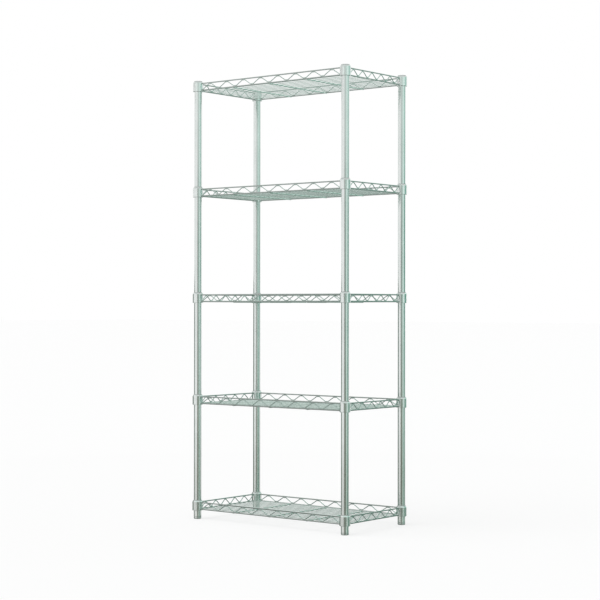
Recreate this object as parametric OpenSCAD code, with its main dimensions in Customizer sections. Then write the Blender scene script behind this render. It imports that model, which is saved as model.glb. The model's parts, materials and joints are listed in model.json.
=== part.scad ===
// Wire shelving rack: four round posts and five lift-off wire shelves.
// Origin: middle of the footprint at floor level. X along the length, front at -Y, +Z up.

/* [Overall] */
// Length over the corner collars
overall_w = 667; // [450:1:900]
// Depth over the corner collars
overall_d = 349; // [280:1:500]
// Height from the floor to the post tops
overall_h = 1500; // [1250:1:1800]

/* [Shelves] */
// Floor to the underside of the lowest shelf's collars
first_shelf_z = 29; // [20:1:60]
// Step from one shelf to the next
shelf_step = 362; // [200:1:435]
// Step from the second shelf to the middle shelf
middle_step = 349; // [200:1:420]

/* [Posts] */
// Outer diameter of the post tube
post_d = 25.4; // [21:0.1:31]
// Wall thickness of the post tube
post_wall = 1.2; // [0.8:0.1:2]
// Depth of the groove that a sleeve clips into
groove_depth = 0.5; // [0.3:0.1:0.6]
// Height of the groove at its mouth
groove_h = 2.6; // [1.5:0.1:4]

/* [Collars and sleeves] */
// Wall thickness of a collar at its foot
collar_wall = 2.3; // [1.5:0.1:4]
// Height of the tapered shoulder at the top of a collar
shoulder_h = 4; // [2:0.5:6]
// Wall thickness left at the top of the shoulder
shoulder_wall = 1; // [0.8:0.1:1.5]
// Height that the sleeve stands above the collar
sleeve_tip_h = 2.4; // [1.5:0.1:5]
// Wall thickness of the sleeve at its foot
sleeve_wall = 2.4; // [2:0.1:3.2]
// How much the sleeve narrows in radius towards its top
sleeve_taper = 1; // [0.5:0.1:1.2]
// Width of the slot between the two halves of a sleeve
sleeve_slot = 0.8; // [0.5:0.1:2]

/* [Wirework] */
// Diameter of the perimeter rails
rail_d = 4.2; // [3:0.1:5.5]
// Height between the middles of the lower and the upper rail
rail_gap = 23; // [18:0.5:35]
// Height of the lower rail's middle above the underside of the collar
rail_z = 4.5; // [3.5:0.5:8]
// Diameter of the zigzag wire
truss_d = 3; // [2:0.1:4]
// Nominal zigzag pitch on the long sides, stretched to fit the run
truss_pitch_long = 74.5; // [50:0.5:100]
// Nominal zigzag pitch on the short sides, stretched to fit the run
truss_pitch_short = 50.5; // [40:0.5:80]
// Length of the straight run along a rail on the long sides
truss_flat_long = 12; // [8:0.5:20]
// Length of the straight run along a rail on the short sides
truss_flat_short = 8; // [6:0.5:14]
// Number of flat sides on a zigzag wire
wire_sides = 8; // [6:2:12]
// Diameter of the deck wires
deck_d = 2.8; // [2:0.1:4]
// Pitch of the deck wires across the depth
deck_pitch = 25; // [18:0.5:40]
// Diameter of the support wires under the deck
support_d = 4; // [3:0.1:5]
// Number of support wires
support_count = 3; // [1:1:5]

/* [Feet and caps] */
// Height of the foot pad
pad_h = 7; // [4:0.5:10]
// Rounding of the foot pad's lower edge
pad_round = 2.5; // [1:0.5:3.5]
// Diameter of the foot's threaded stud
stud_d = 8; // [6:1:10]
// Length of stud above the pad
stud_len = 18; // [12:1:19]
// Depth of the blind hole in the pad that holds the stud
stud_seat = 4; // [2:0.5:5]
// Length of the threaded bush inside the tube
bush_len = 20; // [12:1:24]
// Thickness of the flange under the tube end
flange_h = 1.5; // [1:0.1:2.5]
// Thickness of the post cap's head
cap_h = 2; // [1.5:0.1:4]
// Length of the post cap's plug
plug_len = 14; // [8:1:20]
// Wall thickness of the post cap's plug
plug_wall = 1.6; // [1:0.1:3]

/* [Fits] */
// Space left where one wire is welded against another piece
weld_gap = 0.05; // [0:0.01:0.2]
// Radial clearance between the sleeve and the collar's tapered bore
seat_fit = 0.1; // [0.05:0.01:0.3]
// Radial clearance between a sleeve and its post
clip_fit = 0.05; // [0.02:0.01:0.1]
// Radial clearance of the plug, the bush and the stud in their holes
push_fit = 0.05; // [0.02:0.01:0.1]
// Seam between the foot pad and the bush's flange
foot_seam = 0.3; // [0.2:0.1:1]

/* [Hidden] */
$fn = 64;
CORNERS = ["front_left", "front_right", "rear_left", "rear_right"];
SHELF_PARTS = ["collars", "sleeves_left", "sleeves_right", "top_rails", "bottom_rails",
               "truss_wires", "deck_wires", "support_wires"];
POST_PARTS = ["post", "post_cap", "foot_bush", "foot_stud", "foot_pad"];
SHELVES = [1:5];

post_r = post_d / 2;
tube_r = post_r - post_wall;
rail_r = rail_d / 2;
truss_r = truss_d / 2;

// A collar's straight wall ends level with the top of the upper rail
top_rail_z = rail_z + rail_gap;
straight_h = top_rail_z + rail_r;
collar_h = straight_h + shoulder_h;

// The sleeve's full height, and its outer radius at a height above its foot
sleeve_h = collar_h + sleeve_tip_h;
function sleeve_r(z) = post_r + sleeve_wall - sleeve_taper * z / collar_h;
bead_z = sleeve_h / 2;
collar_r = sleeve_r(0) + seat_fit + collar_wall;

// Post spacing from centre to centre
span_x = overall_w - 2 * collar_r;
span_y = overall_d - 2 * collar_r;

// Underside of each shelf's collars; the top shelf is level with the post tops
shelf_z = [
    first_shelf_z,
    first_shelf_z + shelf_step,
    first_shelf_z + shelf_step + middle_step,
    first_shelf_z + 2 * shelf_step + middle_step,
    overall_h - sleeve_h
];

// The tube stands on the bush's flange and ends under the cap's head
tube_bottom = pad_h + foot_seam + flange_h;
tube_top = overall_h - cap_h;
stud_r = stud_d / 2;
cap_round = cap_h * 0.75;

// Wires between the collars
run_x = span_x - 2 * collar_r - 2 * weld_gap;
run_y = span_y - 2 * collar_r - 2 * weld_gap;
truss_low = rail_z + rail_r + truss_r + weld_gap;
truss_high = top_rail_z - rail_r - truss_r - weld_gap;
deck_run = span_x - 2 * (rail_r + weld_gap);
support_run = span_y - 2 * (rail_r + weld_gap);
support_z = rail_z - weld_gap - support_d / 2;
deck_z = rail_z + deck_d / 2;

// Signs of the corners, in the order of CORNERS
CORNER_SIGNS = [[-1, -1], [1, -1], [-1, 1], [1, 1]];

module at_corner(i) {
    translate([CORNER_SIGNS[i][0] * span_x / 2, CORNER_SIGNS[i][1] * span_y / 2, 0])
        children();
}

module at_shelf(s) {
    translate([0, 0, shelf_z[s - 1]])
        children();
}

module at_all_corners() {
    for (i = [0:3])
        at_corner(i)
            children();
}

// A straight wire of the given length along X, centred on the origin
module bar(length, d) {
    rotate([0, 90, 0])
        cylinder(h = length, d = d, center = true);
}

// One long and one short pair of sides: children(0) runs along X, children(1) along Y
module on_four_sides() {
    for (side = [-1, 1]) {
        translate([0, side * span_y / 2, 0])
            children(0);
        translate([side * span_x / 2, 0, 0])
            rotate([0, 0, 90])
                children(1);
    }
}

// Points along an arc of a profile, from angle a0 to angle a1
function arc_points(centre, r, a0, a1, n = 8) =
    [for (i = [0:n]) let (a = a0 + (a1 - a0) * i / n) centre + r * [cos(a), sin(a)]];

/* Posts */

// Outline of one groove from below to above, for the outside of the tube
function groove_points(z) = [
    [post_r, z - groove_h / 2],
    [post_r - groove_depth, z - groove_h / 2 + groove_depth],
    [post_r - groove_depth, z + groove_h / 2 - groove_depth],
    [post_r, z + groove_h / 2]
];

module post() {
    color("silver")
        rotate_extrude()
            polygon(concat(
                [[tube_r, tube_top], [tube_r, tube_bottom], [post_r, tube_bottom]],
                [for (z = shelf_z) each groove_points(z + bead_z)],
                [[post_r, tube_top]]
            ));
}

module post_cap() {
    plug_r = tube_r - push_fit;
    color("gainsboro")
        translate([0, 0, tube_top])
            rotate_extrude()
                polygon(concat(
                    [[0, cap_h], [0, 0], [plug_r - plug_wall, 0]],
                    [[plug_r - plug_wall, -plug_len], [plug_r, -plug_len], [plug_r, 0], [post_r, 0]],
                    arc_points([post_r - cap_round, cap_h - cap_round], cap_round, 0, 90)
                ));
}

module foot_bush() {
    color("darkgray")
        translate([0, 0, tube_bottom])
            difference() {
                union() {
                    cylinder(h = bush_len, r = tube_r - push_fit);
                    translate([0, 0, -flange_h])
                        cylinder(h = flange_h, r = post_r);
                }
                translate([0, 0, -flange_h - 1])
                    cylinder(h = bush_len + flange_h + 2, r = stud_r + push_fit);
            }
}

module foot_stud() {
    tip = 1;
    color("darkgray")
        translate([0, 0, pad_h - stud_seat])
            rotate_extrude()
                polygon([
                    [0, 0],
                    [stud_r, 0],
                    [stud_r, stud_seat + stud_len - tip],
                    [stud_r - tip, stud_seat + stud_len],
                    [0, stud_seat + stud_len]
                ]);
}

module foot_pad() {
    seat_r = stud_r + push_fit;
    color("silver")
        rotate_extrude()
            polygon(concat(
                [[0, pad_h - stud_seat], [0, 0]],
                arc_points([post_r - pad_round, pad_round], pad_round, -90, 0),
                [[post_r, pad_h], [seat_r, pad_h], [seat_r, pad_h - stud_seat]]
            ));
}

/* Collars and sleeves */

module collars() {
    bevel = 0.6;
    bore_foot = sleeve_r(0) + seat_fit;
    bore_top = sleeve_r(collar_h) + seat_fit;
    color("silver")
        at_all_corners()
            rotate_extrude()
                polygon([
                    [bore_foot, 0],
                    [collar_r - bevel, 0],
                    [collar_r, bevel],
                    [collar_r, straight_h],
                    [bore_top + shoulder_wall, collar_h],
                    [bore_top, collar_h]
                ]);
}

// Half of a split sleeve, with a bead inside that clips into the post's groove
module half_sleeve() {
    slot_angle = 2 * asin(sleeve_slot / 2 / (post_r + sleeve_wall / 2));
    inner = post_r + clip_fit;
    bead_depth = groove_depth - clip_fit;
    bead_h = groove_h / 2 - clip_fit;
    tip_wall = 0.6;
    rotate([0, 0, slot_angle / 2])
        rotate_extrude(angle = 180 - slot_angle)
            polygon([
                [inner, 0],
                [sleeve_r(0), 0],
                [sleeve_r(collar_h), collar_h],
                [inner + tip_wall, sleeve_h],
                [inner, sleeve_h],
                [inner, bead_z + bead_h],
                [inner - bead_depth, bead_z + bead_h - bead_depth],
                [inner - bead_depth, bead_z - bead_h + bead_depth],
                [inner, bead_z - bead_h]
            ]);
}

// The two sleeves on one side of the rack: side is -1 for the left and 1 for the right
module sleeves(side) {
    color("whitesmoke")
        for (i = [0:3])
            if (CORNER_SIGNS[i][0] == side)
                at_corner(i)
                    for (turn = [0, 180])
                        rotate([0, 0, turn])
                            half_sleeve();
}

/* Wirework */

module top_rails() {
    color("silver")
        translate([0, 0, top_rail_z])
            on_four_sides() {
                bar(run_x, rail_d);
                bar(run_y, rail_d);
            }
}

module bottom_rails() {
    color("silver")
        translate([0, 0, rail_z])
            on_four_sides() {
                bar(run_x, rail_d);
                bar(run_y, rail_d);
            }
}

// Corners of a zigzag along X from -run/2 to run/2, as [x, z]. It starts low with half a flat,
// and its pitch is stretched so that a whole number of slopes fits the run.
function zigzag_points(run, nominal_pitch, flat) =
    let (
        count = round(2 * run / nominal_pitch),
        half_pitch = run / count,
        height = function (i) i % 2 == 0 ? truss_low : truss_high
    )
    concat(
        [[-run / 2, height(0)]],
        [for (i = [0:count - 1]) each [
            [-run / 2 + i * half_pitch + flat / 2, height(i)],
            [-run / 2 + (i + 1) * half_pitch - flat / 2, height(i + 1)]
        ]],
        [[run / 2, height(count)]]
    );

// Slope angle of the path after point i, held at its ends
function heading(path, i) =
    let (k = min(max(i, 0), len(path) - 2), d = path[k + 1] - path[k])
    atan2(d[1], d[0]);

// Ring of points round corner i of the path, in the plane that halves the bend
function wire_ring(path, i, r) =
    let (
        before = heading(path, i - 1),
        after = heading(path, i),
        middle = (before + after) / 2,
        stretch = 1 / cos((after - before) / 2)
    )
    [for (k = [0:wire_sides - 1])
        let (a = 360 * (k + 0.5) / wire_sides, up = r * sin(a) * stretch)
        [path[i][0] - up * sin(middle), r * cos(a), path[i][1] + up * cos(middle)]];

// A bent wire of radius r along a path in the XZ plane
module bent_wire(path, r) {
    last = len(path) - 1;
    n = wire_sides;
    polyhedron(
        points = [for (i = [0:last]) each wire_ring(path, i, r)],
        faces = concat(
            [[for (k = [0:n - 1]) k]],
            [for (i = [0:last - 1]) for (k = [0:n - 1]) [
                i * n + k,
                (i + 1) * n + k,
                (i + 1) * n + (k + 1) % n,
                i * n + (k + 1) % n
            ]],
            [[for (k = [n - 1:-1:0]) last * n + k]]
        )
    );
}

module truss_wires() {
    color("silver")
        on_four_sides() {
            bent_wire(zigzag_points(run_x, truss_pitch_long, truss_flat_long), truss_r);
            bent_wire(zigzag_points(run_y, truss_pitch_short, truss_flat_short), truss_r);
        }
}

// As many wires as fit between the front and the rear collars
module deck_wires() {
    count = 1 + floor((run_y - deck_d) / deck_pitch);
    color("lightgray")
        for (i = [1:count])
            translate([0, (i - (count + 1) / 2) * deck_pitch, deck_z])
                bar(deck_run, deck_d);
}

module support_wires() {
    pitch = span_x / (support_count + 1);
    color("silver")
        for (i = [1:support_count])
            translate([-span_x / 2 + i * pitch, 0, support_z])
                rotate([0, 0, 90])
                    bar(support_run, support_d);
}

/* Nodes */

for (i = [0:3]) {
    at_corner(i) post();
    at_corner(i) post_cap();
    at_corner(i) foot_bush();
    at_corner(i) foot_stud();
    at_corner(i) foot_pad();
}
for (s = SHELVES) {
    at_shelf(s) collars();
    at_shelf(s) sleeves(-1);
    at_shelf(s) sleeves(1);
    at_shelf(s) top_rails();
    at_shelf(s) bottom_rails();
    at_shelf(s) truss_wires();
    at_shelf(s) deck_wires();
    at_shelf(s) support_wires();
}
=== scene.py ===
"""Looks of the wire shelving rack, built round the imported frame. Lengths are metres."""
import json
import math

import bmesh
import bpy
from mathutils import Matrix, Vector, noise

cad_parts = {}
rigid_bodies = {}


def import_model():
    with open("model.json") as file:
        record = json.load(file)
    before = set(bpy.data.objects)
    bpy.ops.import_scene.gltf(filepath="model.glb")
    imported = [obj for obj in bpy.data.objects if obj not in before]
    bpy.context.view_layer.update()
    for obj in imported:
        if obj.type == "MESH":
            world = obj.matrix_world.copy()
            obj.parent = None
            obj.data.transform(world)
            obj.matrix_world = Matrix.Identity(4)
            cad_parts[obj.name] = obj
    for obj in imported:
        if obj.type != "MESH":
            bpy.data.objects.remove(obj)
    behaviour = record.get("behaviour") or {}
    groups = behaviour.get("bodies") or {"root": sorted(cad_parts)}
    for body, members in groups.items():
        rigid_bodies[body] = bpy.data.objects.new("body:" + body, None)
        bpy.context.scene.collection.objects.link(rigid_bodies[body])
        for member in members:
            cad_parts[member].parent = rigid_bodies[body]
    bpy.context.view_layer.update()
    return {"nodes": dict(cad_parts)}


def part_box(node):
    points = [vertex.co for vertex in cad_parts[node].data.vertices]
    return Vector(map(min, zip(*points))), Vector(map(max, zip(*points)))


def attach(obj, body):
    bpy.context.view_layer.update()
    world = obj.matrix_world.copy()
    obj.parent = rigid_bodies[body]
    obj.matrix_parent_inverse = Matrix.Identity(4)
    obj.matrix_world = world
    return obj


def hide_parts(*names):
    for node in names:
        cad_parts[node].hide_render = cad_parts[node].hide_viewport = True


for leftover in list(bpy.data.objects):
    bpy.data.objects.remove(leftover)
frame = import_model()

MM = 0.001
SHELVES = range(1, 6)
CORNERS = ("front_left", "front_right", "rear_left", "rear_right")
SMOOTH_UNDER = math.radians(40)

# Zigzag wires
TRUSS_R = 1.5 * MM
LONG_SLOPES = 16
LONG_FLAT = 12 * MM
SHORT_SLOPES = 11
SHORT_FLAT = 8 * MM
BEND_R = 6 * MM
BEND_STEPS = 6
WIRE_SIDES = 14

# Deck wires and the supports under them
DECK_R = 1.4 * MM
DECK_COUNT = 12
DECK_PITCH = 25 * MM
SUPPORT_COUNT = 3

# Welds: the half sizes of nuggets are along X, Y and Z
WELD_GAP = 0.05 * MM
NUGGET_DETAIL = 2
NUGGET_ROUGHNESS = 0.12
NUGGET_LUMPS = 1.7
NUGGET_VARIETY = 900
TRUSS_NUGGET_SHARE = 0.36
TRUSS_NUGGET_WIDTH = 1.15 * MM
TRUSS_NUGGET_HEIGHT = 0.5 * MM
CROSSING_NUGGET = (1.5 * MM, 1.3 * MM, 0.5 * MM)
DECK_END_NUGGET = (1.6 * MM, 1.55 * MM, 1.25 * MM)
DECK_END_DROP = 0.2 * MM
SUPPORT_END_NUGGET = (2.1 * MM, 1.7 * MM, 1.5 * MM)
SUPPORT_END_RISE = 0.6 * MM
NUGGET_REACH = 0.2 * MM
FILLET_THROAT = 1.3 * MM
FILLET_STEPS = 5
FILLET_SIDES = 20
FILLET_IN_RAIL = 0.08 * MM
FILLET_IN_COLLAR = 0.1 * MM

# Levelling studs
THREAD_PITCH = 1.25 * MM
THREAD_DEPTH = 0.7 * MM
THREAD_STEEPNESS = 1.25
THREAD_COLUMNS = 24
ROWS_PER_TURN = 8
STUD_TIP = 1 * MM


def centre(node):
    low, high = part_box(node)
    return (low + high) / 2


span_x = centre("post_front_right").x - centre("post_front_left").x
span_y = centre("post_rear_left").y - centre("post_front_left").y


class Shelf:
    """Heights and radii of one shelf, read from its CAD nodes."""

    def __init__(self, number):
        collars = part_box(f"shelf_{number}_collars")
        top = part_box(f"shelf_{number}_top_rails")
        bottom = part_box(f"shelf_{number}_bottom_rails")
        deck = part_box(f"shelf_{number}_deck_wires")
        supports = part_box(f"shelf_{number}_support_wires")
        self.collar_r = collars[1].x - span_x / 2
        self.rail_r = (top[1].z - top[0].z) / 2
        self.top_rail_z = (top[0].z + top[1].z) / 2
        self.bottom_rail_z = (bottom[0].z + bottom[1].z) / 2
        self.truss_low = bottom[1].z + WELD_GAP + TRUSS_R
        self.truss_high = top[0].z - WELD_GAP - TRUSS_R
        self.deck_z = (deck[0].z + deck[1].z) / 2
        self.deck_end = deck[1].x
        self.support_z = (supports[0].z + supports[1].z) / 2
        self.support_end = supports[1].y
        self.run_x = span_x - 2 * (self.collar_r + WELD_GAP)
        self.run_y = span_y - 2 * (self.collar_r + WELD_GAP)


class Side:
    """One side of a shelf, and its zigzag wire. X of the matrix place runs along the side."""

    def __init__(self, shelf, is_long, sign):
        self.is_long = is_long
        self.low = shelf.truss_low
        self.high = shelf.truss_high
        if is_long:
            self.run = shelf.run_x
            self.slopes = LONG_SLOPES
            self.flat = LONG_FLAT
            self.place = Matrix.Translation((0, sign * span_y / 2, 0))
        else:
            self.run = shelf.run_y
            self.slopes = SHORT_SLOPES
            self.flat = SHORT_FLAT
            quarter_turn = Matrix.Rotation(math.pi / 2, 4, "Z")
            self.place = Matrix.Translation((sign * span_x / 2, 0, 0)) @ quarter_turn


def sides(shelf):
    return [Side(shelf, is_long, sign) for sign in (-1, 1) for is_long in (True, False)]


# ---- Mesh helpers ----

def make_piece(name, bm, body, material):
    """Turns a bmesh into a smooth-shaded piece that rides on a body."""
    bmesh.ops.recalc_face_normals(bm, faces=bm.faces)
    mesh = bpy.data.meshes.new(name)
    bm.to_mesh(mesh)
    bm.free()
    mesh.polygons.foreach_set("use_smooth", [True] * len(mesh.polygons))
    mesh.set_sharp_from_angle(angle=SMOOTH_UNDER)
    mesh.materials.append(material)
    piece = bpy.data.objects.new(name, mesh)
    bpy.context.scene.collection.objects.link(piece)
    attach(piece, body)
    return piece


def join_rings(bm, rings):
    """Faces between rings of vertices, each ring closed, and a cap at both ends."""
    for ring, following in zip(rings, rings[1:]):
        for k in range(len(ring)):
            after = (k + 1) % len(ring)
            bm.faces.new((ring[k], ring[after], following[after], following[k]))
    bm.faces.new(reversed(rings[0]))
    bm.faces.new(rings[-1])


def add_wire(bm, path, radius, place):
    """A round wire along a path of (x, z) points, moved by the matrix place."""
    rings = []
    for i, point in enumerate(path):
        ahead = path[min(i + 1, len(path) - 1)]
        behind = path[max(i - 1, 0)]
        heading = (ahead - behind).normalized()
        ring = []
        for k in range(WIRE_SIDES):
            turn = 2 * math.pi * k / WIRE_SIDES
            up = radius * math.sin(turn)
            spot = Vector((
                point.x - up * heading.y,
                radius * math.cos(turn),
                point.y + up * heading.x,
            ))
            ring.append(bm.verts.new(place @ spot))
        rings.append(ring)
    join_rings(bm, rings)


def add_nugget(bm, spot, half_sizes):
    """A small weld nugget: a lumpy oval with the given half sizes."""
    shape = bmesh.ops.create_icosphere(bm, subdivisions=NUGGET_DETAIL, radius=1)
    for vert in shape["verts"]:
        lump = 1 + NUGGET_ROUGHNESS * noise.noise(vert.co * NUGGET_LUMPS + spot * NUGGET_VARIETY)
        vert.co = spot + Vector(a * b for a, b in zip(vert.co * lump, half_sizes))


def add_fillet(bm, root, away, rail_r, collar_r):
    """A concave weld fillet round a rail's end, seated on a collar.

    root is where the rail's axis meets the collar, and away points along the rail."""
    side = Vector((-away.y, away.x, 0))
    up = Vector((0, 0, 1))
    rings = []
    for j in range(FILLET_STEPS + 1):
        turn = math.pi / 2 * j / FILLET_STEPS
        fade = 1 - j / FILLET_STEPS
        reach = rail_r + FILLET_THROAT * (1 - math.sin(turn)) - FILLET_IN_RAIL
        along = FILLET_THROAT * (1 - math.cos(turn))
        ring = []
        for k in range(FILLET_SIDES):
            angle = 2 * math.pi * k / FILLET_SIDES
            across = reach * math.cos(angle)
            seat = collar_r - math.sqrt(collar_r ** 2 - across ** 2)
            spot = root + away * (along - seat * fade - FILLET_IN_COLLAR * fade)
            spot += side * across + up * reach * math.sin(angle)
            ring.append(bm.verts.new(spot))
        rings.append(ring)
    join_rings(bm, rings)


# ---- Zigzag wires ----

def zigzag(side):
    """Sharp corners of a side's zigzag, as (x, z), starting low with half a flat."""
    half_pitch = side.run / side.slopes
    heights = (side.low, side.high)
    points = [Vector((-side.run / 2, side.low))]
    for i in range(side.slopes):
        left = -side.run / 2 + i * half_pitch
        points.append(Vector((left + side.flat / 2, heights[i % 2])))
        points.append(Vector((left + half_pitch - side.flat / 2, heights[(i + 1) % 2])))
    points.append(Vector((side.run / 2, heights[side.slopes % 2])))
    return points


def round_corners(points, radius):
    """The same path with an arc of the given radius at every corner."""
    path = [points[0]]
    for before, corner, after in zip(points, points[1:], points[2:]):
        arrive = (corner - before).normalized()
        leave = (after - corner).normalized()
        turn = abs(arrive.angle_signed(leave))
        start = corner - arrive * radius * math.tan(turn / 2)
        inward = Vector((-arrive.y, arrive.x))
        if arrive.x * leave.y - arrive.y * leave.x < 0:
            inward = -inward
        middle = start + inward * radius
        for step in range(BEND_STEPS + 1):
            angle = turn * step / BEND_STEPS
            spoke = arrive * radius * math.sin(angle) - inward * radius * math.cos(angle)
            path.append(middle + spoke)
    path.append(points[-1])
    return path


def bent_wires(number, shelf, material):
    """The four zigzag wires of a shelf with real bends, in place of the sharp CAD ones."""
    bm = bmesh.new()
    for side in sides(shelf):
        add_wire(bm, round_corners(zigzag(side), BEND_R), TRUSS_R, side.place)
    piece = make_piece(f"shelf_{number}_bent_wires", bm, f"shelf_{number}", material)
    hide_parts(f"shelf_{number}_truss_wires")


# ---- Welds ----

def truss_welds(bm, shelf):
    """A nugget where each flat of the zigzag lies on its rail."""
    for side in sides(shelf):
        along = TRUSS_NUGGET_SHARE * side.flat
        half_sizes = (
            (along, TRUSS_NUGGET_WIDTH, TRUSS_NUGGET_HEIGHT) if side.is_long
            else (TRUSS_NUGGET_WIDTH, along, TRUSS_NUGGET_HEIGHT)
        )
        for i in range(1, side.slopes):
            x = -side.run / 2 + i * side.run / side.slopes
            z = side.low - TRUSS_R if i % 2 == 0 else side.high + TRUSS_R
            add_nugget(bm, side.place @ Vector((x, 0, z)), half_sizes)


def support_places():
    return [-span_x / 2 + j * span_x / (SUPPORT_COUNT + 1) for j in range(1, SUPPORT_COUNT + 1)]


def deck_welds(bm, shelf):
    """Nuggets where the deck wires cross the supports, and where both end on the rails."""
    for i in range(DECK_COUNT):
        y = (i - (DECK_COUNT - 1) / 2) * DECK_PITCH
        for x in support_places():
            add_nugget(bm, Vector((x, y, shelf.deck_z - DECK_R)), CROSSING_NUGGET)
        for sign in (-1, 1):
            x = sign * (shelf.deck_end + NUGGET_REACH)
            add_nugget(bm, Vector((x, y, shelf.deck_z - DECK_END_DROP)), DECK_END_NUGGET)
    for x in support_places():
        for sign in (-1, 1):
            y = sign * (shelf.support_end + NUGGET_REACH)
            add_nugget(bm, Vector((x, y, shelf.support_z + SUPPORT_END_RISE)), SUPPORT_END_NUGGET)


def collar_welds(bm, shelf):
    """A fillet round the end of every rail on every collar."""
    for x_sign in (-1, 1):
        for y_sign in (-1, 1):
            post = Vector((x_sign * span_x / 2, y_sign * span_y / 2, 0))
            for away in (Vector((-x_sign, 0, 0)), Vector((0, -y_sign, 0))):
                for z in (shelf.bottom_rail_z, shelf.top_rail_z):
                    root = post + away * shelf.collar_r + Vector((0, 0, z))
                    add_fillet(bm, root, away, shelf.rail_r, shelf.collar_r)


def welds(number, shelf, material):
    """All the welds of a shelf, as one piece."""
    bm = bmesh.new()
    truss_welds(bm, shelf)
    deck_welds(bm, shelf)
    collar_welds(bm, shelf)
    make_piece(f"shelf_{number}_welds", bm, f"shelf_{number}", material)


# ---- Levelling studs ----

def threaded_stud(corner, material):
    """A stud with a real helical thread and a chamfered tip, in place of the plain CAD one."""
    low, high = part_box(f"foot_stud_{corner}")
    middle = (low + high) / 2
    outer_r = (high.x - low.x) / 2
    rows = round((high.z - low.z) / THREAD_PITCH * ROWS_PER_TURN)
    bm = bmesh.new()
    rings = []
    for i in range(rows + 1):
        z = low.z + (high.z - low.z) * i / rows
        chamfer = max(0.0, STUD_TIP - (high.z - z))
        ring = []
        for k in range(THREAD_COLUMNS):
            angle = 2 * math.pi * k / THREAD_COLUMNS
            phase = (z / THREAD_PITCH - k / THREAD_COLUMNS) % 1
            crest = min(1.0, THREAD_STEEPNESS * abs(2 * phase - 1))
            r = min(outer_r - THREAD_DEPTH * (1 - crest), outer_r - chamfer)
            spot = (middle.x + r * math.cos(angle), middle.y + r * math.sin(angle), z)
            ring.append(bm.verts.new(spot))
        rings.append(ring)
    join_rings(bm, rings)
    piece = make_piece(f"foot_thread_{corner}", bm, f"foot_{corner}", material)
    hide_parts(f"foot_stud_{corner}")


# ---- Materials ----

class Nodes:
    """A material's node tree with short calls to add and wire nodes."""

    def __init__(self, name):
        self.material = bpy.data.materials.new(name)
        self.material.use_nodes = True
        self.tree = self.material.node_tree
        self.shader = self.tree.nodes["Principled BSDF"]
        coordinates = self.add("ShaderNodeTexCoord")
        self.place = coordinates.outputs["Object"]

    def add(self, kind, **settings):
        node = self.tree.nodes.new(kind)
        for key, value in settings.items():
            setattr(node, key, value)
        return node

    def link(self, source, target):
        self.tree.links.new(source, target)

    def noise(self, scale, detail, stretch=(1, 1, 1)):
        """A noise value; scale counts waves per metre, stretch multiplies it along each axis."""
        mapping = self.add("ShaderNodeMapping")
        mapping.inputs["Scale"].default_value = stretch
        self.link(self.place, mapping.inputs["Vector"])
        texture = self.add("ShaderNodeTexNoise")
        texture.inputs["Scale"].default_value = scale
        texture.inputs["Detail"].default_value = detail
        self.link(mapping.outputs["Vector"], texture.inputs["Vector"])
        return texture.outputs["Fac"]

    def remap(self, value, low, high, from_low=0.3, from_high=0.7):
        """Stretches a value, by default the middle of a noise, to run from low to high."""
        node = self.add("ShaderNodeMapRange")
        node.inputs["From Min"].default_value = from_low
        node.inputs["From Max"].default_value = from_high
        node.inputs["To Min"].default_value = low
        node.inputs["To Max"].default_value = high
        self.link(value, node.inputs["Value"])
        return node.outputs["Result"]

    def mix(self, factor, first, second):
        """Blend of two colours; each is an output or an RGB triple."""
        node = self.add("ShaderNodeMix", data_type="RGBA")
        self.link(factor, node.inputs["Factor"])
        for socket, colour in ((node.inputs[6], first), (node.inputs[7], second)):
            if isinstance(colour, tuple):
                socket.default_value = (*colour, 1)
            else:
                self.link(colour, socket)
        return node.outputs[2]

    def bump(self, height, distance, strength):
        node = self.add("ShaderNodeBump")
        node.inputs["Distance"].default_value = distance
        node.inputs["Strength"].default_value = strength
        self.link(height, node.inputs["Height"])
        self.link(node.outputs["Normal"], self.shader.inputs["Normal"])

    def edges(self, flat, sharp):
        """0 where the surface's pointiness is flat, and 1 where it is sharp."""
        geometry = self.add("ShaderNodeNewGeometry")
        return self.remap(geometry.outputs["Pointiness"], 0, 1, flat, sharp)


# Noises: waves per metre
PLATING_CLOUDS = 14
PLATING_SMEARS = 90
PLASTIC_CLOUDS = 60
PLASTIC_SMEARS = 400
ORANGE_PEEL = 1500

# How much denser or sparser the grain is along each axis
ALONG_Z = (1, 1, 0.02)
ROUND_Z = (0.05, 0.05, 1)
EVEN = (1, 1, 1)

# Colours of bright plating and of its duller clouds
BRIGHT = (0.76, 0.785, 0.775)
SHADE = (0.66, 0.70, 0.685)
WORN_GAIN = 1.12


def plated_steel(name, bright, shade, roughness, grain, stretch):
    """Plated steel: cloudy plating, polishing lines along the grain, and brighter worn edges."""
    m = Nodes(name)
    m.shader.inputs["Metallic"].default_value = 1
    clouds = m.remap(m.noise(PLATING_CLOUDS, detail=4), 0, 1)
    lines = m.noise(grain, detail=5, stretch=stretch)
    plating = m.mix(clouds, shade, bright)
    lined = m.mix(m.remap(lines, 0, 0.35), plating, shade)
    worn = tuple(min(1, channel * WORN_GAIN) for channel in bright)
    m.link(m.mix(m.edges(flat=0.53, sharp=0.6), lined, worn), m.shader.inputs["Base Color"])
    smears = m.remap(m.noise(PLATING_SMEARS, detail=3), roughness - 0.04, roughness + 0.05)
    m.link(smears, m.shader.inputs["Roughness"])
    m.bump(lines, distance=0.02 * MM, strength=0.35)
    return m.material


def moulded_plastic(name, base, dark, roughness):
    """Moulded plastic with a fine orange-peel surface and faint flow clouds."""
    m = Nodes(name)
    clouds = m.remap(m.noise(PLASTIC_CLOUDS, detail=4), 0, 1)
    m.link(m.mix(clouds, dark, base), m.shader.inputs["Base Color"])
    smears = m.remap(m.noise(PLASTIC_SMEARS, detail=2), roughness - 0.06, roughness + 0.06)
    m.link(smears, m.shader.inputs["Roughness"])
    m.bump(m.noise(ORANGE_PEEL, detail=2), distance=0.03 * MM, strength=0.4)
    return m.material


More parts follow.
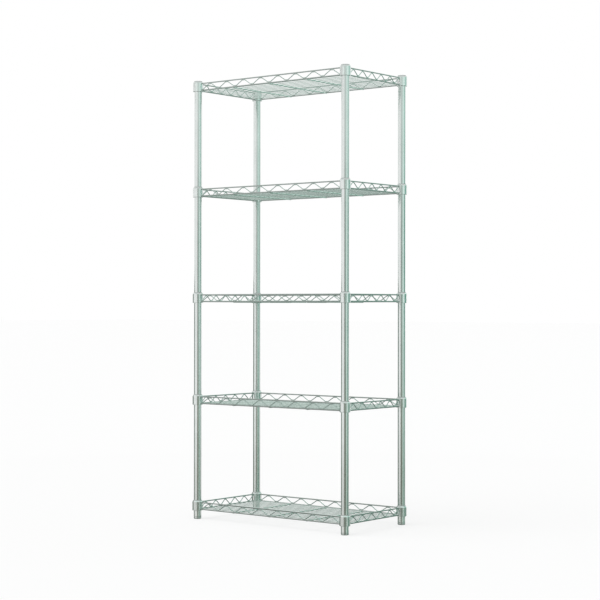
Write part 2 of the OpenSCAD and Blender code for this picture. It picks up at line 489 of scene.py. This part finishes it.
materials = {
    "post_steel": plated_steel("post_plating", BRIGHT, SHADE, 0.15, 900, ALONG_Z),
    "collar_steel": plated_steel("collar_plating", BRIGHT, SHADE, 0.21, 1200, ROUND_Z),
    "wire_steel": plated_steel(
        "wire_plating", (0.65, 0.75, 0.71), (0.56, 0.66, 0.62), 0.18, 700, EVEN,
    ),
    # The rails' plating is the wire plating darkened: painted shade for the dark lines the rails
    # show, not a different finish.
    "rail_steel_painted_shade": plated_steel(
        "rail_plating_painted_shade", (0.44, 0.48, 0.46), (0.37, 0.41, 0.39), 0.16, 700, EVEN,
    ),
    "foot_steel": plated_steel("foot_plating", BRIGHT, SHADE, 0.26, 1200, ROUND_Z),
    "stud_steel": plated_steel(
        "zinc_thread", (0.58, 0.60, 0.60), (0.45, 0.47, 0.47), 0.34, 1500, ROUND_Z,
    ),
    "sleeve_plastic": moulded_plastic(
        "sleeve_plastic", (0.42, 0.45, 0.44), (0.36, 0.39, 0.38), 0.45,
    ),
    "cap_plastic": moulded_plastic("cap_plastic", (0.60, 0.64, 0.63), (0.54, 0.58, 0.57), 0.4),
}
weld_material = plated_steel(
    "weld_plating", (0.64, 0.67, 0.655), (0.50, 0.54, 0.52), 0.34, 2500, EVEN,
)


def finish_frame():
    """Gives every CAD node the material of its slot, and the rails a darker copy of the wire
    plating, which is painted shade.
    """
    for name, node in frame["nodes"].items():
        for entry in node.material_slots:
            finish = "rail_steel_painted_shade" if name.endswith("_rails") else entry.material.name
            entry.material = materials[finish]


finish_frame()
for number in SHELVES:
    shelf = Shelf(number)
    bent_wires(number, shelf, materials["wire_steel"])
    welds(number, shelf, weld_material)
for corner in CORNERS:
    threaded_stud(corner, materials["stud_steel"])


# ---- Studio ----

CAMERA_AT = Vector((3.4098, -4.2704, 0.7275))
CAMERA_AZIMUTH = math.radians(38.55)
CAMERA_PITCH = math.radians(0.234)
CAMERA_ROLL = math.radians(0.072)
CAMERA_LENS_MM = 96.84
CAMERA_SENSOR_MM = 36
AMBIENT = 0.6
FLOOR_HALF = 60
FLOOR_GLOW = 0.7

# Boards that only the metal reflects
BOARD_R = 2.6
BOARD_HIGH = 2.1
BOARD_COLUMNS = 12
LOW_BOARD_HIGH = 0.85
DISC_SIDES = 64
FLOOR_BOARD_Z = 0.5 * MM
CEILING_Z = 3.0
DOME_R = 40
DOME_COLUMNS = 24
DOME_ROWS = 6


def camera():
    data = bpy.data.cameras.new("camera")
    data.lens = CAMERA_LENS_MM
    data.sensor_width = CAMERA_SENSOR_MM
    made = bpy.data.objects.new("camera", data)
    bpy.context.scene.collection.objects.link(made)
    made.matrix_world = (
        Matrix.Translation(CAMERA_AT)
        @ Matrix.Rotation(CAMERA_AZIMUTH, 4, "Z")
        @ Matrix.Rotation(math.pi / 2 + CAMERA_PITCH, 4, "X")
        @ Matrix.Rotation(CAMERA_ROLL, 4, "Z")
    )
    bpy.context.scene.camera = made


def seen_directly(tree):
    """1 for rays that the camera, a mirror or glass sees, and 0 for light on matt surfaces."""
    path = tree.nodes.new("ShaderNodeLightPath")
    value = path.outputs["Is Camera Ray"]
    for other in ("Is Glossy Ray", "Is Transmission Ray"):
        larger = tree.nodes.new("ShaderNodeMath")
        larger.operation = "MAXIMUM"
        tree.links.new(value, larger.inputs[0])
        tree.links.new(path.outputs[other], larger.inputs[1])
        value = larger.outputs["Value"]
    return value


def world():
    """A white backdrop that lights matt surfaces more softly than it shows."""
    made = bpy.data.worlds.new("studio")
    bpy.context.scene.world = made
    made.use_nodes = True
    tree = made.node_tree
    soft = tree.nodes["Background"]
    soft.inputs["Color"].default_value = (1, 1, 1, 1)
    soft.inputs["Strength"].default_value = AMBIENT
    white = tree.nodes.new("ShaderNodeBackground")
    white.inputs["Color"].default_value = (1, 1, 1, 1)
    mix = tree.nodes.new("ShaderNodeMixShader")
    tree.links.new(seen_directly(tree), mix.inputs["Fac"])
    tree.links.new(soft.outputs["Background"], mix.inputs[1])
    tree.links.new(white.outputs["Background"], mix.inputs[2])
    tree.links.new(mix.outputs["Shader"], tree.nodes["World Output"].inputs["Surface"])


def link_stage(name, bm, material):
    mesh = bpy.data.meshes.new(name)
    bm.to_mesh(mesh)
    bm.free()
    mesh.materials.append(material)
    made = bpy.data.objects.new(name, mesh)
    bpy.context.scene.collection.objects.link(made)
    return made


def floor():
    """Pale floor: it shows the white of the backdrop and keeps the rack's shadow."""
    material = bpy.data.materials.new("floor")
    material.use_nodes = True
    tree = material.node_tree
    matt = tree.nodes["Principled BSDF"]
    matt.inputs["Base Color"].default_value = (0.95, 0.95, 0.95, 1)
    matt.inputs["Roughness"].default_value = 0.9
    glow = tree.nodes.new("ShaderNodeEmission")
    share = tree.nodes.new("ShaderNodeMath")
    share.operation = "MULTIPLY"
    share.inputs[1].default_value = FLOOR_GLOW
    tree.links.new(seen_directly(tree), share.inputs[0])
    mix = tree.nodes.new("ShaderNodeMixShader")
    tree.links.new(share.outputs["Value"], mix.inputs["Fac"])
    tree.links.new(matt.outputs["BSDF"], mix.inputs[1])
    tree.links.new(glow.outputs["Emission"], mix.inputs[2])
    tree.links.new(mix.outputs["Shader"], tree.nodes["Material Output"].inputs["Surface"])
    bm = bmesh.new()
    bmesh.ops.create_grid(bm, x_segments=1, y_segments=1, size=FLOOR_HALF)
    link_stage("floor", bm, material)


def card_glow(name, stops):
    """A board's glow: stops are (share of its height, colour), blended from one to the next."""
    material = bpy.data.materials.new(name)
    material.use_nodes = True
    tree = material.node_tree
    glow = tree.nodes.new("ShaderNodeEmission")
    tree.links.new(glow.outputs["Emission"], tree.nodes["Material Output"].inputs["Surface"])
    if len(stops) == 1:
        glow.inputs["Color"].default_value = (*stops[0][1], 1)
        return material
    place = tree.nodes.new("ShaderNodeTexCoord")
    split = tree.nodes.new("ShaderNodeSeparateXYZ")
    ramp = tree.nodes.new("ShaderNodeValToRGB")
    while len(ramp.color_ramp.elements) < len(stops):
        ramp.color_ramp.elements.new(1)
    for element, (share, colour) in zip(ramp.color_ramp.elements, stops):
        element.position = share
        element.color = (*colour, 1)
    tree.links.new(place.outputs["Generated"], split.inputs["Vector"])
    tree.links.new(split.outputs["Z"], ramp.inputs["Fac"])
    tree.links.new(ramp.outputs["Color"], glow.inputs["Color"])
    return material


def link_card(name, bm, material):
    """A board that nothing but a reflection shows."""
    card = link_stage(name, bm, material)
    card.visible_camera = False
    card.visible_diffuse = False
    card.visible_transmission = False
    card.visible_volume_scatter = False
    card.visible_shadow = False


def round_rack(degrees, radius, z):
    """A point at an angle round the rack: 0 is the camera's side, 90 the camera's right."""
    angle = math.radians(degrees) + CAMERA_AZIMUTH
    return (radius * math.sin(angle), -radius * math.cos(angle), z)


def join_columns(bm, columns):
    """Faces between neighbouring columns of vertices."""
    for left, right in zip(columns, columns[1:]):
        for j in range(len(left) - 1):
            bm.faces.new((left[j], right[j], right[j + 1], left[j + 1]))


def arc_card(name, start, end, *stops, high=BOARD_HIGH):
    """An upright curved board, between two angles round the rack."""
    bm = bmesh.new()
    columns = []
    for i in range(BOARD_COLUMNS + 1):
        degrees = start + (end - start) * i / BOARD_COLUMNS
        columns.append([bm.verts.new(round_rack(degrees, BOARD_R, z)) for z in (0, high)])
    join_columns(bm, columns)
    link_card(name, bm, card_glow(name, stops))


def dome_card(name, start, end, low, high, colour):
    """A patch of a far dome, between two angles round the rack and two above the horizon."""
    bm = bmesh.new()
    columns = []
    for i in range(DOME_COLUMNS + 1):
        degrees = start + (end - start) * i / DOME_COLUMNS
        column = []
        for j in range(DOME_ROWS + 1):
            rise = math.radians(low + (high - low) * j / DOME_ROWS)
            spot = round_rack(degrees, DOME_R * math.cos(rise), DOME_R * math.sin(rise))
            column.append(bm.verts.new(spot))
        columns.append(column)
    join_columns(bm, columns)
    link_card(name, bm, card_glow(name, [(0, colour)]))


def disc(z):
    bm = bmesh.new()
    bmesh.ops.create_circle(bm, cap_ends=True, segments=DISC_SIDES, radius=BOARD_R)
    bmesh.ops.translate(bm, verts=bm.verts, vec=(0, 0, z))
    return bm


def ceiling_card(colour):
    """A pale grey board overhead."""
    link_card("ceiling_card", disc(CEILING_Z), card_glow("ceiling_card", [(0, colour)]))


def floor_card(shaded_near, far, sheen):
    """A dark glossy board just over the floor: a mirror at grazing angles.

    It shows its darker near colour out to a quarter of its radius and eases into far at its rim;
    that darker middle is painted shade, the floor's shade round the rack as the metal reflects
    it."""
    material = card_glow("floor_card", [(0, shaded_near)])
    tree = material.node_tree
    place = tree.nodes.new("ShaderNodeTexCoord")
    distance = tree.nodes.new("ShaderNodeVectorMath")
    distance.operation = "LENGTH"
    tree.links.new(place.outputs["Object"], distance.inputs[0])
    outward = tree.nodes.new("ShaderNodeMapRange")
    outward.inputs["From Min"].default_value = BOARD_R / 4
    outward.inputs["From Max"].default_value = BOARD_R
    tree.links.new(distance.outputs["Value"], outward.inputs["Value"])
    blend = tree.nodes.new("ShaderNodeMix")
    blend.data_type = "RGBA"
    blend.inputs[6].default_value = (*shaded_near, 1)
    blend.inputs[7].default_value = (*far, 1)
    tree.links.new(outward.outputs["Result"], blend.inputs["Factor"])
    mirror = tree.nodes.new("ShaderNodeBsdfGlossy")
    mirror.inputs["Color"].default_value = (*sheen, 1)
    mirror.inputs["Roughness"].default_value = 0.05
    facing = tree.nodes.new("ShaderNodeLayerWeight")
    grazing = tree.nodes.new("ShaderNodeMapRange")
    grazing.inputs["From Min"].default_value = 0.74
    grazing.inputs["From Max"].default_value = 0.85
    tree.links.new(facing.outputs["Facing"], grazing.inputs["Value"])
    mix = tree.nodes.new("ShaderNodeMixShader")
    tree.links.new(grazing.outputs["Result"], mix.inputs["Fac"])
    output = tree.nodes["Material Output"].inputs["Surface"]
    glow = output.links[0].from_node
    tree.links.new(blend.outputs[2], glow.inputs["Color"])
    tree.links.new(glow.outputs["Emission"], mix.inputs[1])
    tree.links.new(mirror.outputs["BSDF"], mix.inputs[2])
    tree.links.new(mix.outputs["Shader"], output)
    link_card("floor_card", disc(FLOOR_BOARD_Z), material)


def soft_sun(name, direction, strength, spread):
    """A wide, distant lamp: direction points from the lamp, spread is its width in degrees."""
    data = bpy.data.lights.new(name, "SUN")
    data.energy = strength
    data.angle = math.radians(spread)
    made = bpy.data.objects.new(name, data)
    bpy.context.scene.collection.objects.link(made)
    made.rotation_euler = Vector(direction).to_track_quat("-Z", "Y").to_euler()
    made.visible_glossy = False


def reflections():
    """Boards round, over and under the rack. Colours change at these shares of their height."""
    foot, middle, upper, top = 0.05, 0.35, 0.52, 0.76
    grey = (0.33, 0.35, 0.33)
    green_grey = (0.36, 0.50, 0.44)
    green = (0.14, 0.34, 0.27)
    arc_card(
        "grey_card", -22, 4,
        (foot, (0.28, 0.29, 0.25)), (middle, grey), (upper, grey), (top, (0.64, 0.68, 0.66)),
    )
    arc_card(
        "green_grey_card", 4, 30,
        (foot, (0.22, 0.27, 0.21)), (middle, green_grey), (upper, green_grey),
        (top, (0.66, 0.78, 0.74)),
    )
    arc_card("mint_card", 34, 60, (foot, (0.60, 0.76, 0.70)), (middle, (0.82, 1.0, 0.95)))
    arc_card(
        "green_card", 63, 112,
        (foot, (0.20, 0.36, 0.29)), (middle, green), (upper, green), (top, (0.46, 0.68, 0.61)),
    )
    arc_card("rear_card", 156, 206, (foot, (0.22, 0.28, 0.25)), (middle, (0.45, 0.55, 0.50)))
    arc_card("low_card", -165, -102, (0, (0.16, 0.21, 0.18)), high=LOW_BOARD_HIGH)
    dome_card("mint_dome", -62, 156, 12, 70, (0.78, 0.98, 0.91))
    dome_card("left_dome", -140, -64, 12, 25, (0.14, 0.17, 0.155))
    dome_card("right_dome", 84, 120, 12, 22, (0.12, 0.17, 0.15))
    # The floor board's darker near colour is painted shade round the rack, seen only in the
    # metal's reflections.
    floor_card(shaded_near=(0.15, 0.18, 0.165), far=(0.38, 0.44, 0.41), sheen=(0.8, 0.8, 0.78))
    ceiling_card((0.75, 0.78, 0.77))


camera()
world()
floor()
reflections()
soft_sun("key", direction=(0.35, 0.55, -1.0), strength=1.5, spread=50)
bpy.context.scene.view_settings.view_transform = "Standard"
